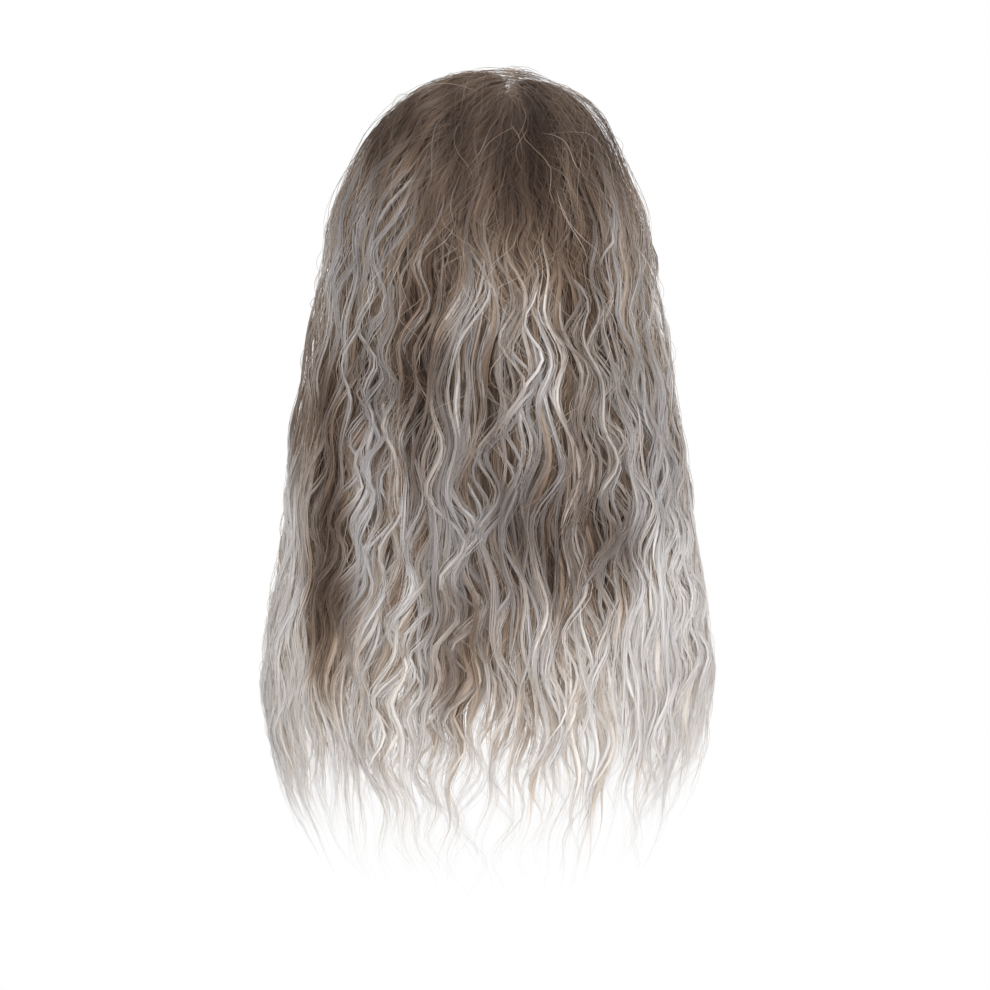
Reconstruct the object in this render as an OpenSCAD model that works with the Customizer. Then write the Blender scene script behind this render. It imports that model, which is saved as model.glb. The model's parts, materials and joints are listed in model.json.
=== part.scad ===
// Long wavy costume wig: an open wefted cap, its adjusters, and locks of synthetic hair.
// The origin is the middle of the head opening at brow height. +Z is up, the face looks along -Y
// and the wearer's left is +X.

/* [Head] */
// Half the width of the head that the cap fits
head_half_w = 77.5; // [74:0.5:80]
// Half the length of that head, front to back
head_half_l = 97.5; // [94:0.5:100]
// Height of the crown above the brow
head_top = 112; // [108:1:116]

/* [Cap] */
// Thickness of the net, the bands and the ribs
cloth_t = 0.8; // [0.6:0.1:0.8]
// Thickness of a sewn weft tape
weft_t = 1.2; // [0.9:0.1:1.2]
// Height of a sewn weft tape
weft_h = 4; // [3:0.5:5]
// Number of weft rows on the back of the cap
weft_rows = 9; // [9:1:9]
// Width of a vertical rib ribbon
rib_w = 8; // [6:1:9]
// Angle that the front edge band covers, seen from the middle of the head
front_band_pol = 7.5; // [6:0.5:8]

/* [Hair] */
// Half width of the hair at brow height
hair_half_w = 122; // [118:1:124]
// Height of the top of the hair above the brow
hair_top = 130; // [128:1:132]
// How far the crown of the hair leans to the wearer's left; below 0 it leans to the right
crown_lean = -6; // [-8:1:4]
// Number of locks in the outer layer
outer_locks = 22; // [22:1:22]
// How far the longest lock hangs below the brow
hair_drop = 477; // [450:1:490]
// How far the parting stands off the middle, in degrees towards the wearer's right
part_lean = 8; // [4:1:10]
// Sideways swing of the waves, in degrees about the head
wave_swing = 2.2; // [0:0.1:2.4]
// Length of one wave down a lock
wave_length = 120; // [90:1:140]

/* [Adjusters] */
// Travel of each hook along its row of loops
hook_travel = 18; // [15:1:18]
// Width of the elastic adjuster strap
strap_w = 6; // [5:0.5:6]
// Thread loops in each row
loop_count = 4; // [3:1:4]
// Width of the ear tab at its root, in degrees round the head
ear_tab_az = 20; // [16:1:20]

/* [Hidden] */
WEFTS = [for (i = [1:weft_rows]) str("weft_tape_", i)];
HAIR = ["back_centre_locks", "back_left_locks", "back_right_locks", "side_left_locks",
        "side_right_locks", "front_left_locks", "front_right_locks"];

NET_COLOUR = "#4b4039";
BAND_COLOUR = "#3a322d";
SKIN_COLOUR = "#cbb39c";
WEFT_COLOUR = "#5a4c42";
METAL_COLOUR = "#b9bbbd";
BROWN_HAIR = "#6f6057";
SILVER_HAIR = "#aaa5a2";
PALE_HAIR = "#c4bfbb";

gap = 0.15;                     // between two sewn layers
seam = 0.4;                     // between two pieces edge to edge, in degrees
rib_in = gap;                   // height of a rib's inner face above the head
weft_in = rib_in + cloth_t + 0.35;
hair_in = weft_in + weft_t + 1.1;
first_row_pol = 54;             // polar angle of the top weft row
row_pitch_pol = 8;
net_back_pol = 51;              // where the crown net ends at the back
net_around = 48;                // flat facets round the rim of the crown net
front_az = 133;                 // azimuth of the front edge of the hair at brow height
whorl_pol = 27;                 // the crown whorl, behind the top of the head
temple_hollow = 0.065;          // how much flatter than an ellipsoid the hair lies above the ears
hairline_pol = 67;              // the front end of the parting
whorl_az = 25;                  // locks within this azimuth all start at the whorl
hair_half_back = 124;
hair_half_front = 112;

// ---- curves -------------------------------------------------------------------------------

function clamp(x, lo = 0, hi = 1) = min(hi, max(lo, x));
function ease(x, lo, hi) = let(t = clamp((x - lo) / (hi - lo))) t * t * (3 - 2 * t);
function mix(a, b, t) = a + (b - a) * t;
function unit(v) = v / norm(v);

// A smooth curve through points [x, y] with rising x.
function slope(p, i) =
    (p[min(i + 1, len(p) - 1)].y - p[max(i - 1, 0)].y) /
    (p[min(i + 1, len(p) - 1)].x - p[max(i - 1, 0)].x);
function curve_from(p, x, i) =
    let(h = p[i + 1].x - p[i].x, t = clamp((x - p[i].x) / h), u = 1 - t)
    p[i].y * u * u * (1 + 2 * t) + p[i + 1].y * t * t * (1 + 2 * u)
    + h * t * u * (slope(p, i) * u - slope(p, i + 1) * t);
function curve(p, x, i = 0) =
    i >= len(p) - 2 || x <= p[i + 1].x ? curve_from(p, x, i) : curve(p, x, i + 1);

// ---- the head -----------------------------------------------------------------------------

// Azimuth runs from 0 at the back through 90 at the wearer's left; the polar angle is 0 on top.
function aim(az, pol) = [sin(pol) * sin(az), sin(pol) * cos(az), cos(pol)];
function on_ellipsoid(u, half_w, half_l, top) = [u.x * half_w, u.y * half_l, u.z * top];
function on_head(az, pol, off) =
    on_ellipsoid(aim(az, pol), head_half_w + off, head_half_l + off, head_top + off);

// The cap's lower edge: hairline, temple, ear and nape.
EDGE = [[0, 130], [36, 129], [50, 119], [62, 104], [74, 92], [90, 88], [100, 89],
        [123, 80], [140, 69], [180, 63.5]];
function edge_pol(az) = curve(EDGE, abs(az > 180 ? az - 360 : az));

// Where the crown net ends: a weft row at the back, the temple panels, and the front band.
function net_pol(az) =
    let(a = abs(az > 180 ? az - 360 : az))
    mix(net_back_pol, edge_pol(a) - front_band_pol - seam, ease(a, 104, 126));

// The same rim as the straight facets of the net run.
function rim_pol(az) = let(step = 360 / net_around, k = floor(az / step))
    mix(net_pol(k * step), net_pol((k + 1) * step), az / step - k);

// ---- solids from grids of points ------------------------------------------------------------

// A closed slab between two grids of points of the same size.
module slab(inner, outer) {
    rows = len(inner);
    cols = len(inner[0]);
    total = rows * cols;
    points = concat([for (r = inner) each r], [for (r = outer) each r]);
    at = function(side, i, j) side * total + i * cols + j;
    turn = cross(inner[1][0] - inner[0][0], inner[0][1] - inner[0][0]) * (outer[0][0] - inner[0][0]);
    quads = concat(
        [for (i = [0:rows - 2]) for (j = [0:cols - 2])
            [at(0, i, j), at(0, i + 1, j), at(0, i + 1, j + 1), at(0, i, j + 1)]],
        [for (i = [0:rows - 2]) for (j = [0:cols - 2])
            [at(1, i, j), at(1, i, j + 1), at(1, i + 1, j + 1), at(1, i + 1, j)]],
        [for (i = [0:rows - 2]) [at(0, i, 0), at(1, i, 0), at(1, i + 1, 0), at(0, i + 1, 0)]],
        [for (i = [0:rows - 2]) [at(0, i, cols - 1), at(0, i + 1, cols - 1),
                                 at(1, i + 1, cols - 1), at(1, i, cols - 1)]],
        [for (j = [0:cols - 2]) [at(0, 0, j), at(0, 0, j + 1), at(1, 0, j + 1), at(1, 0, j)]],
        [for (j = [0:cols - 2]) [at(0, rows - 1, j), at(1, rows - 1, j),
                                 at(1, rows - 1, j + 1), at(0, rows - 1, j + 1)]]);
    tris = [for (q = quads) each [[q[0], q[1], q[2]], [q[0], q[2], q[3]]]];
    polyhedron(points, turn > 0 ? tris : [for (t = tris) [t[2], t[1], t[0]]]);
}

// A patch of cloth on the head, from azimuth a0 to a1 and between two polar curves.
module patch(a0, a1, cols, top, bottom, rows, off, thick) {
    grid = function(o) [for (i = [0:cols]) let(az = mix(a0, a1, i / cols))
        [for (j = [0:rows]) on_head(az, mix(top(az), bottom(az), j / rows), o)]];
    slab(grid(off), grid(off + thick));
}

// A closed tube through rings of points, with a fan of triangles on each end.
module sweep(rings) {
    n = len(rings[0]);
    last = len(rings) - 1;
    points = concat([for (r = rings) each r], [average(rings[0]), average(rings[last])]);
    sides = [for (i = [0:last - 1]) for (j = [0:n - 1])
        let(a = i * n + j, b = i * n + (j + 1) % n) each [[a, b, b + n], [a, b + n, a + n]]];
    start = [for (j = [0:n - 1]) [(j + 1) % n, j, len(points) - 2]];
    finish = [for (j = [0:n - 1]) [last * n + j, last * n + (j + 1) % n, len(points) - 1]];
    faces = concat(sides, start, finish);
    along = average(rings[1]) - average(rings[0]);
    turn = cross(rings[0][1] - rings[0][0], rings[0][2] - rings[0][1]) * along;
    polyhedron(points, turn < 0 ? faces : [for (t = faces) [t[2], t[1], t[0]]]);
}
function average(v, i = 0) = i == len(v) ? [0, 0, 0] : v[i] / len(v) + average(v, i + 1);

// ---- the cap ------------------------------------------------------------------------------

// A dome of net: rings from the top of the head down to net_pol.
module crown_net(around = net_around, rings = 7) {
    skin = function(off) concat([on_head(0, 0, off)],
        [for (k = [1:rings]) for (i = [0:around - 1])
            let(az = 360 * i / around) on_head(az, net_pol(az) * k / rings, off)]);
    half = 1 + rings * around;
    at = function(k, i) k == 0 ? 0 : 1 + (k - 1) * around + i % around;
    outer = [for (k = [0:rings - 1]) for (i = [0:around - 1])
        each [if (k > 0) [at(k, i), at(k, i + 1), at(k + 1, i + 1)],
              [at(k, i), at(k + 1, i + 1), at(k + 1, i)]]];
    rim = [for (i = [0:around - 1]) let(a = at(rings, i), b = at(rings, i + 1))
        each [[a, b + half, b], [a, a + half, b + half]]];
    faces = concat([for (t = outer) t + [half, half, half]], [for (t = outer) [t[2], t[1], t[0]]],
        rim);
    color(NET_COLOUR) polyhedron(concat(skin(0), skin(cloth_t)), faces);
}

// The skin-coloured strip under the parting, from the hairline to the whorl.
module parting_strip() {
    steps = 10;
    half_turn = 9;
    lean = part_lean;
    at = function(along, across, off) on_ellipsoid(
        [sin(across - lean) * cos(along), sin(along), cos(across - lean) * cos(along)],
        head_half_w + off, head_half_l + off, head_top + off);
    grid = function(off) [for (i = [0:steps]) let(along = mix(-55, whorl_pol + 1.5, i / steps))
        [for (j = [-2:2]) at(along, j * half_turn / 2, off)]];
    color(SKIN_COLOUR) slab(grid(cloth_t + 0.35), grid(2 * cloth_t + 0.35));
}

module front_band() {
    color(BAND_COLOUR) patch(124, 236, 28, function(a) edge_pol(a) - front_band_pol,
        function(a) edge_pol(a), 1, 0, cloth_t);
}

module temple_panel(side) {
    color(NET_COLOUR) patch(side * 101, side * (124 - seam), 8, function(a) rim_pol(a) + 2 * seam,
        function(a) mix(84, edge_pol(a), ease(abs(a), 122, 124)), 4, 0, cloth_t);
}

module side_band(side) {
    color(BAND_COLOUR) patch(side * 40.3, side * (101 - seam), 16, function(a) edge_pol(a) - 6,
        function(a) edge_pol(a), 1, 0, cloth_t);
}

module nape_band() {
    color(BAND_COLOUR) patch(-40, 40, 20, function(a) edge_pol(a) - 7,
        function(a) edge_pol(a), 1, 0, cloth_t);
}

// An elastic ribbon down the back, from the net to the band at the cap's edge.
module rib(az, band_pol) {
    half = function(pol) rib_w / 2 / (head_half_w * sin(pol)) * 180 / PI;
    steps = 10;
    side = half(edge_pol(az) - band_pol);
    foot = function(j) edge_pol(az + j * side) - band_pol - 3 * seam;
    grid = function(off) [for (i = [0:steps]) [for (j = [-1, 1])
        let(pol = mix(net_back_pol + seam, foot(j), i / steps))
        on_head(az + j * half(pol), pol, off)]];
    color(BAND_COLOUR) slab(grid(rib_in), grid(rib_in + cloth_t));
}

// How far round the head each weft row runs: to the temples above the ears, and between the
// side bands below them.
function row_pol(row) = first_row_pol + (row - 1) * row_pitch_pol;
ROW_END = [[54, 104], [78, 104], [86, 98], [94, 70], [102, 62], [110, 56], [118, 49]];
function row_end(pol) = lookup(pol, ROW_END);

module weft_tape(row) {
    pol = row_pol(row);
    half = weft_h / 2 / head_half_l * 180 / PI;
    end = row_end(pol);
    color(WEFT_COLOUR) patch(-end, end, 2 * round(end / 8), function(a) pol - half,
        function(a) pol + half, 1, weft_in, weft_t);
}

// ---- the moving parts of the cap -------------------------------------------------------------

// A rounded tongue in front of the ear.
tab_az = 112;
tab_top_pol = 84.5;
module ear_tab(side) {
    half = ear_tab_az / 2;
    color(BAND_COLOUR) patch(side * (tab_az - half), side * (tab_az + half), 12,
        function(a) tab_top_pol,
        function(a) tab_top_pol + 2.5 + 10.5 * sqrt(clamp(1 - pow((abs(a) - tab_az) / half, 2))),
        3, 0, cloth_t);
}

// The bendable stay that lies on the tab in its channel.
module ear_stay(side) {
    color(METAL_COLOUR) patch(side * (tab_az - 1.6), side * (tab_az + 1.6), 2,
        function(a) tab_top_pol + 1, function(a) tab_top_pol + 10.5, 4, cloth_t + gap, 0.6);
}

// Inside the nape, from the band inwards: a tape, keeper loops of thread that stand on it, and
// a hook that runs through them along the curve of the nape.
hook_az = 27;
hook_pol = 126;
tape_t = 0.6;
tape_in = -2 * gap - tape_t;
hook_t = 0.7;
hook_in = tape_in - 0.7;
thread_r = 0.35;
keeper_clear = hook_t + 1.05;

// Puts a shape on the head's inside: +Z points in towards the head and +Y down the meridian.
module on_inner_face(az, pol, off) {
    here = on_head(az, pol, off);
    along = on_head(az + 0.5, pol, off) - on_head(az - 0.5, pol, off);
    down = unit(on_head(az, pol + 0.5, off) - on_head(az, pol - 0.5, off));
    inward = unit(cross(down, along));
    sideways = cross(down, inward);
    multmatrix([[sideways.x, down.x, inward.x, here.x], [sideways.y, down.y, inward.y, here.y],
                [sideways.z, down.z, inward.z, here.z], [0, 0, 0, 1]]) children();
}

// An elastic strap from the side band to the eye of its hook.
strap_root_az = 60;
strap_end_az = 32.4;
strap_t = 0.8;
function strap_pol(az) = mix(hook_pol, edge_pol(strap_root_az) - 4,
    (abs(az) - strap_end_az) / (strap_root_az - strap_end_az));

module adjuster_strap(side) {
    half = strap_w / 2 / head_half_l * 180 / PI;
    color(BAND_COLOUR) patch(side * strap_end_az, side * strap_root_az, 10,
        function(a) strap_pol(a) - half, function(a) strap_pol(a) + half, 1,
        hook_in - strap_t, strap_t);
}

module loop_tape(side) {
    color(BAND_COLOUR) patch(side * 3, side * 25, 10, function(a) hook_pol - 2.6,
        function(a) hook_pol + 2.6, 2, tape_in, tape_t);
}

module hook_loops(side) {
    pitch = hook_travel / 3 / (head_half_w * sin(hook_pol)) * 180 / PI;
    color(BROWN_HAIR) for (i = [0:loop_count - 1])
        on_inner_face(side * (22.5 - i * pitch), hook_pol, tape_in - gap) keeper_loop();
}

// Two legs, two rounded corners and a bar.
module keeper_loop() {
    half = strap_w / 2 + 1.05;
    bend = 0.8;
    rise = keeper_clear + thread_r;
    translate([0, 0, rise]) rotate([90, 0, 0])
        cylinder(h = 2 * (half - bend), r = thread_r, center = true, $fn = 8);
    for (flip = [0, 1]) mirror([0, flip, 0]) {
        translate([0, half, 0]) cylinder(h = rise - bend, r = thread_r, $fn = 8);
        translate([0, half - bend, rise - bend]) rotate([90, 0, 90])
            rotate_extrude(angle = 90, $fn = 16) translate([bend, 0]) circle(thread_r, $fn = 8);
    }
}

// A flat metal hook: an eye that the strap is sewn through and a tongue that leads along the row.
eye_l = 5;
tongue_w = 3.2;
tongue_reach = 7;
module adjuster_hook(side) {
    color(METAL_COLOUR) on_inner_face(side * hook_az, hook_pol, hook_in)
        rotate(side < 0 ? 180 : 0) linear_extrude(hook_t) hook_outline();
}

module hook_outline() {
    difference() {
        union() {
            translate([1 - eye_l / 2, 0]) rounded_plate(eye_l, strap_w, 0.8);
            translate([0.5, -tongue_w / 2]) square([tongue_reach - tongue_w / 2 - 0.5, tongue_w]);
            translate([tongue_reach - tongue_w / 2, 0]) circle(tongue_w / 2, $fn = 24);
        }
        translate([-2.6, 0]) rounded_plate(1.3, strap_w - 1.8, 0.5);
    }
}

module rounded_plate(l, w, r) {
    square([l - 2 * r, w], center = true);
    square([l, w - 2 * r], center = true);
    for (x = [-1, 1]) for (y = [-1, 1])
        translate([x * (l / 2 - r), y * (w / 2 - r)]) circle(r, $fn = 16);
}

// ---- the hair -----------------------------------------------------------------------------

// Half width and half depth of the outside and of the inside of the hair below the brow.
OUT_W = [[-477, 116], [-430, 142], [-380, 158], [-340, 165], [-305, 167], [-270, 162],
         [-225, 155], [-180, 150], [-136, 145], [-92, 138], [-50, 130], [-20, 125], [0, hair_half_w]];
OUT_BACK = [[-477, 106], [-380, 120], [-300, 124], [-236, 118], [-150, 113], [-80, 118],
            [0, hair_half_back]];
OUT_FRONT = [[-477, 112], [-380, 126], [-300, 130], [-236, 124], [-150, 108], [-80, 106],
             [0, hair_half_front]];
IN_W = [[-477, 96], [-380, 134], [-300, 140], [-236, 128], [-160, 110], [-110, 96], [-72, 86],
        [-40, 82], [0, head_half_w + hair_in]];
IN_BACK = [[-477, 94], [-380, 106], [-300, 104], [-236, 96], [-160, 86], [-110, 82], [-72, 83],
           [-40, 95], [0, head_half_l + hair_in]];
IN_FRONT = [[-477, 96], [-380, 112], [-300, 112], [-236, 104], [-150, 88], [-80, 88],
            [0, head_half_l + hair_in]];

// The signed polar angle at which the hair of an azimuth starts on the parting.
function root_pol(phi) =
    mix(whorl_pol, -hairline_pol, clamp((abs(phi) - whorl_az) / (front_az - whorl_az)));
function root_aim(phi) =
    let(p = root_pol(phi)) [-sin(part_lean) * cos(p), sin(p), cos(part_lean) * cos(p)];
function level_aim(phi) = [sin(phi), cos(phi), 0];

// The direction of the hair over the dome: s is 0 on the parting and 1 at brow height.
function flow_aim(phi, s) =
    let(w = acos(root_aim(phi) * level_aim(phi)))
    (root_aim(phi) * sin((1 - s) * w) + level_aim(phi) * sin(s * w)) / sin(w);

// The hair is drawn in beside the face, and closes towards the chest.
function draw_in(phi) = 1 - 0.15 * ease(abs(phi), 90, front_az);
function fall_az(phi, z) = phi * (1 + 0.09 * ease(-z, 0, 250) * ease(abs(phi), 90, front_az));

function on_dome(phi, s, half_w, half_back, half_front, top, in) =
    let(u = flow_aim(phi, s)) on_ellipsoid(u, half_w * in, (u.y > 0 ? half_back : half_front) * in, top);
function hollowed(p) =
    let(h = clamp(p.z / hair_top / 0.92))
    [p.x * (1 - temple_hollow * pow(sin(180 * h), 2)) + crown_lean * ease(h, 0.4, 1), p.y, p.z];
function on_fall(phi, z, half_w, half_back, half_front, in) =
    let(a = fall_az(phi, z))
    [in * curve(half_w, z) * sin(a), in * curve(cos(a) > 0 ? half_back : half_front, z) * cos(a), z];
function outside(phi, s) = s < 1
    ? hollowed(on_dome(phi, s, hair_half_w, hair_half_back, hair_half_front, hair_top,
        mix(1, draw_in(phi), ease(s, 0.3, 1))))
    : on_fall(phi, 100 * (1 - s), OUT_W, OUT_BACK, OUT_FRONT, draw_in(phi));
function inside(phi, s) = s < 1
    ? on_dome(phi, s, head_half_w + hair_in, head_half_l + hair_in, head_half_l + hair_in,
        head_top + hair_in, 1)
    : on_fall(phi, 100 * (1 - s), IN_W, IN_BACK, IN_FRONT, 1);

// A point in the hair. Below the brow s grows by 1 for each 100 mm; depth is 1 on the outside.
function in_hair(phi, s, depth) = mix(inside(phi, s), outside(phi, s), depth);

// The waves swing the shared edges of the locks, so that neighbours never cross.
function wavy(phi, s) =
    phi + wave_swing * ease(s, 0.6, 2.2) * sin(36000 * (s - 1) / wave_length + 2.4 * phi);

STATIONS = concat([0.16, 0.34, 0.52, 0.7, 0.86], [for (z = [0:30:450]) 1 + z / 100]);

// One lock between two azimuths: full at the middle, thin at the root and the tip.
module lock(phi0, phi1, s0, s1, low, high, sides) {
    at = concat([s0], [for (s = STATIONS) if (s > s0 + 0.05 && s < s1 - 0.1) s], [s1]);
    ring = function(s) let(t = (s - s0) / (s1 - s0), tip = 1 - 0.82 * ease(t, 0.74, 1),
            root = 0.55 + 0.45 * ease(t, 0, 0.15), bed = low(clamp(s)),
            middle = (wavy(phi0, s) + wavy(phi1, s)) / 2,
            half = (wavy(phi1, s) - wavy(phi0, s)) / 2 * 0.965 * tip)
        [for (j = [0:sides - 1]) let(a = 360 * (j + 0.5) / sides,
                c = sign(cos(a)) * pow(abs(cos(a)), 0.75), d = sign(sin(a)) * pow(abs(sin(a)), 0.75))
            in_hair(middle + half * c, s,
                (bed + high) / 2 + (high - bed) / 2 * min(tip + 0.1, 1) * root * d)];
    sweep([for (s = at) ring(s)]);
}

// Uneven lengths, the same each time.
function uneven(i) = (sin(i * 137.5) + sin(i * 61.3 + 40)) / 2;

lock_az = 2 * front_az / outer_locks;
function lock_end(i) = let(phi = -front_az + (i + 0.5) * lock_az)
    1 + (hair_drop - 26 + 26 * uneven(i) - 55 * ease(abs(phi), 50, 100)) / 100;

module outer_group(first, count, hair_colour) {
    color(hair_colour) for (i = [first:first + count - 1]) {
        phi0 = -front_az + i * lock_az;
        lock(phi0, phi0 + lock_az, 0.04, lock_end(i),
            function(s) mix(0.03, 0.52, ease(s, 0.4, 1)), 0.97, 8);
    }
}

// Hair sewn to the weft rows, under the outer locks.
module row_hair(az0, az1, count, start, end, low, high) {
    width = (az1 - az0) / count;
    for (i = [0:count - 1])
        lock(az0 + i * width, az0 + (i + 1) * width, start, end - 0.15 + 0.15 * uneven(i + 50),
            function(s) low, high, 6);
}

module nape_row_hair() {
    color(BROWN_HAIR) row_hair(-56, 56, 5, 1.52, 4.3, 0.02, 0.16);
}

module middle_row_hair(side) {
    color(PALE_HAIR) row_hair(side > 0 ? 1 : -97, side > 0 ? 97 : -1, 6, 0.85, 4.85, 0.22, 0.43);
}

// ---- what is drawn --------------------------------------------------------------------------

crown_net();
parting_strip();
front_band();
temple_panel(1);  // temple_panel_left
temple_panel(-1);  // temple_panel_right
side_band(1);  // side_band_left
side_band(-1);  // side_band_right
nape_band();
rib(0, 7);  // rib_centre
rib(27, 7);  // rib_left_inner
rib(-27, 7);  // rib_right_inner
rib(56, 6);  // rib_left_outer
rib(-56, 6);  // rib_right_outer
adjuster_strap(1);  // adjuster_strap_left
adjuster_strap(-1);  // adjuster_strap_right
loop_tape(1);  // loop_tape_left
loop_tape(-1);  // loop_tape_right
hook_loops(1);  // hook_loops_left
hook_loops(-1);  // hook_loops_right
adjuster_hook(1);  // adjuster_hook_left
adjuster_hook(-1);  // adjuster_hook_right
ear_tab(1);  // ear_tab_left
ear_tab(-1);  // ear_tab_right
ear_stay(1);  // ear_stay_left
ear_stay(-1);  // ear_stay_right
for (row = [1:weft_rows])
    weft_tape(row);
nape_row_hair();
middle_row_hair(1);  // middle_row_hair_left
middle_row_hair(-1);  // middle_row_hair_right
outer_group(0, 3, PALE_HAIR);  // front_right_locks
outer_group(3, 3, SILVER_HAIR);  // side_right_locks
outer_group(6, 3, BROWN_HAIR);  // back_right_locks
outer_group(9, 4, SILVER_HAIR);  // back_centre_locks
outer_group(13, 3, BROWN_HAIR);  // back_left_locks
outer_group(16, 3, SILVER_HAIR);  // side_left_locks
outer_group(19, 3, PALE_HAIR);  // front_left_locks
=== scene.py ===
"""Long wavy costume wig: layered wavy locks over a wefted cap with adjusters and ear tabs."""
import json
import math

import bmesh
import bpy
import numpy as np
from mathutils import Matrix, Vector


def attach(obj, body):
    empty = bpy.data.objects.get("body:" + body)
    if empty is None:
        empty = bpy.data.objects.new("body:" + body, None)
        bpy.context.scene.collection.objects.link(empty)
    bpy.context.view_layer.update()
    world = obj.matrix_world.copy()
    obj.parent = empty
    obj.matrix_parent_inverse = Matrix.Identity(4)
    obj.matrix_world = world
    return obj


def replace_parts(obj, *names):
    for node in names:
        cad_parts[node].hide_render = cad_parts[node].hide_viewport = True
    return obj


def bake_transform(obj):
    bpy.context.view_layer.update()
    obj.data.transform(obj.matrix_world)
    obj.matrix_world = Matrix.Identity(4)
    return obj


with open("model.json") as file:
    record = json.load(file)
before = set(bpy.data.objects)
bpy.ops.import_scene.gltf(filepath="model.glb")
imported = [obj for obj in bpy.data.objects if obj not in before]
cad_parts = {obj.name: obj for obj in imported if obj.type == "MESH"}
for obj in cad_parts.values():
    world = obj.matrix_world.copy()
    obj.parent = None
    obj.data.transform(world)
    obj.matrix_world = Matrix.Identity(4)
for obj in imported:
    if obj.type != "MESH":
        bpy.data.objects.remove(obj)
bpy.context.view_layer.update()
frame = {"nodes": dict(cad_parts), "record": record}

MM = 0.001
scene = bpy.context.scene

# ---------------------------------------------------------------- the shape of the head and hair
# The same values as in the part's source, in millimetres and degrees. An azimuth runs from the
# middle of the back to the wearer's left, and a polar angle from the top of the head down.

HEAD_HALF = (77.5, 97.5, 112.0)  # half the head's width and length, and its height over the brow
CLOTH = 0.8                     # thickness of the net, bands and ribbons
GAP = 0.15                      # between two sewn layers
NET_THREAD = 0.6
SEAM = 0.4                      # degrees between two panels
NET_BACK_POL = 51.0             # where the crown net ends at the back
FRONT_BAND_POL = 7.5            # height of the front band
WEFT_IN = GAP + CLOTH + 0.35    # from the head to the inside of the weft tapes
WEFT_T = 1.2
WEFT_H = 4.0
WEFT_ROWS = 9
FIRST_ROW_POL = 54.0
ROW_STEP_POL = 8
ROW_POLS = (54, 78, 86, 94, 102, 110, 118)  # rows at these polar angles
ROW_ENDS = (104, 104, 98, 70, 62, 56, 49)  # run round to these azimuths
STRAP_W = 6.0
STRAP_T = 0.8
STRAP_IN = -2.4                 # the straps lie inside the nape band
STRAP_ROOT_AZ = 60.0
STRAP_END_AZ = 32.4
HOOK_POL = 126.0
TAB_AZ = 112.0                  # middle of the ear tabs
TAB_HALF_AZ = 10.0
TAB_TOP_POL = 84.5

HAIR_IN = WEFT_IN + WEFT_T + 1.1  # from the head to the inside of the hair
HAIR_HALF_W = 122.0             # the dome of hair at brow height, from its middle
HALF_BACK = 124.0
HALF_FRONT = 112.0
HAIR_TOP = 130.0
FRONT_AZ = 133.0                # the hair ends here, beside the face
SIDE_AZ = 90.0                  # in front of this the hair draws in towards the face
WHORL_AZ = 25.0
WHORL_POL = 27.0
HAIRLINE_POL = 67.0
PART_LEAN = 8.0                 # degrees that the parting leans to the wearer's right
CROWN_LEAN = -6.0               # millimetres that the crown leans to the same side
TEMPLE_HOLLOW = 0.065           # how much flatter than an ellipsoid it lies above the ears
FALL_UNIT = 100.0               # millimetres of fall that count as 1 along the hair


def smooth_table(points):
    """A smooth curve through points with rising x."""
    xs, ys = np.array(points, float).T
    last = len(xs) - 1
    ahead = np.minimum(np.arange(last + 1) + 1, last)
    behind = np.maximum(np.arange(last + 1) - 1, 0)
    slopes = (ys[ahead] - ys[behind]) / (xs[ahead] - xs[behind])

    def at(x):
        i = np.clip(np.searchsorted(xs, x) - 1, 0, last - 1)
        h = xs[i + 1] - xs[i]
        t = np.clip((x - xs[i]) / h, 0, 1)
        u = 1 - t
        return (ys[i] * u * u * (1 + 2 * t) + ys[i + 1] * t * t * (1 + 2 * u)
                + h * t * u * (slopes[i] * u - slopes[i + 1] * t))

    return at


# The hair's half width and its reach to the back and to the front, on the outside and on the
# inside, by height from the brow, and the polar angle of the cap's lower edge by azimuth.
outer_width = smooth_table([(-477, 116), (-430, 142), (-380, 158), (-340, 165), (-305, 167),
                            (-270, 162), (-225, 155), (-180, 150), (-136, 145), (-92, 138),
                            (-50, 130), (-20, 125), (0, HAIR_HALF_W)])
outer_back = smooth_table([(-477, 106), (-380, 120), (-300, 124), (-236, 118), (-150, 113),
                           (-80, 118), (0, HALF_BACK)])
outer_front = smooth_table([(-477, 112), (-380, 126), (-300, 130), (-236, 124), (-150, 108),
                            (-80, 106), (0, HALF_FRONT)])
inner_width = smooth_table([(-477, 96), (-380, 134), (-300, 140), (-236, 128), (-160, 110),
                            (-110, 96), (-72, 86), (-40, 82), (0, HEAD_HALF[0] + HAIR_IN)])
inner_back = smooth_table([(-477, 94), (-380, 106), (-300, 104), (-236, 96), (-160, 86),
                           (-110, 82), (-72, 83), (-40, 95), (0, HEAD_HALF[1] + HAIR_IN)])
inner_front = smooth_table([(-477, 96), (-380, 112), (-300, 112), (-236, 104), (-150, 88),
                            (-80, 88), (0, HEAD_HALF[1] + HAIR_IN)])
cap_edge = smooth_table([(0, 130), (36, 129), (50, 119), (62, 104), (74, 92), (90, 88), (100, 89),
                         (123, 80), (140, 69), (180, 63.5)])


def ease(x, low, high):
    """0 up to low and 1 from high on, with a soft rise between them."""
    t = np.clip((x - low) / (high - low), 0, 1)
    return t * t * (3 - 2 * t)


def mix(a, b, t):
    """a where t is 0, b where it is 1."""
    return a + (b - a) * t


def sin_deg(a):
    return np.sin(np.radians(a))


def cos_deg(a):
    return np.cos(np.radians(a))


def stack(x, y, z):
    """Points from their coordinates."""
    return np.stack(np.broadcast_arrays(x, y, z), axis=-1)


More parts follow.
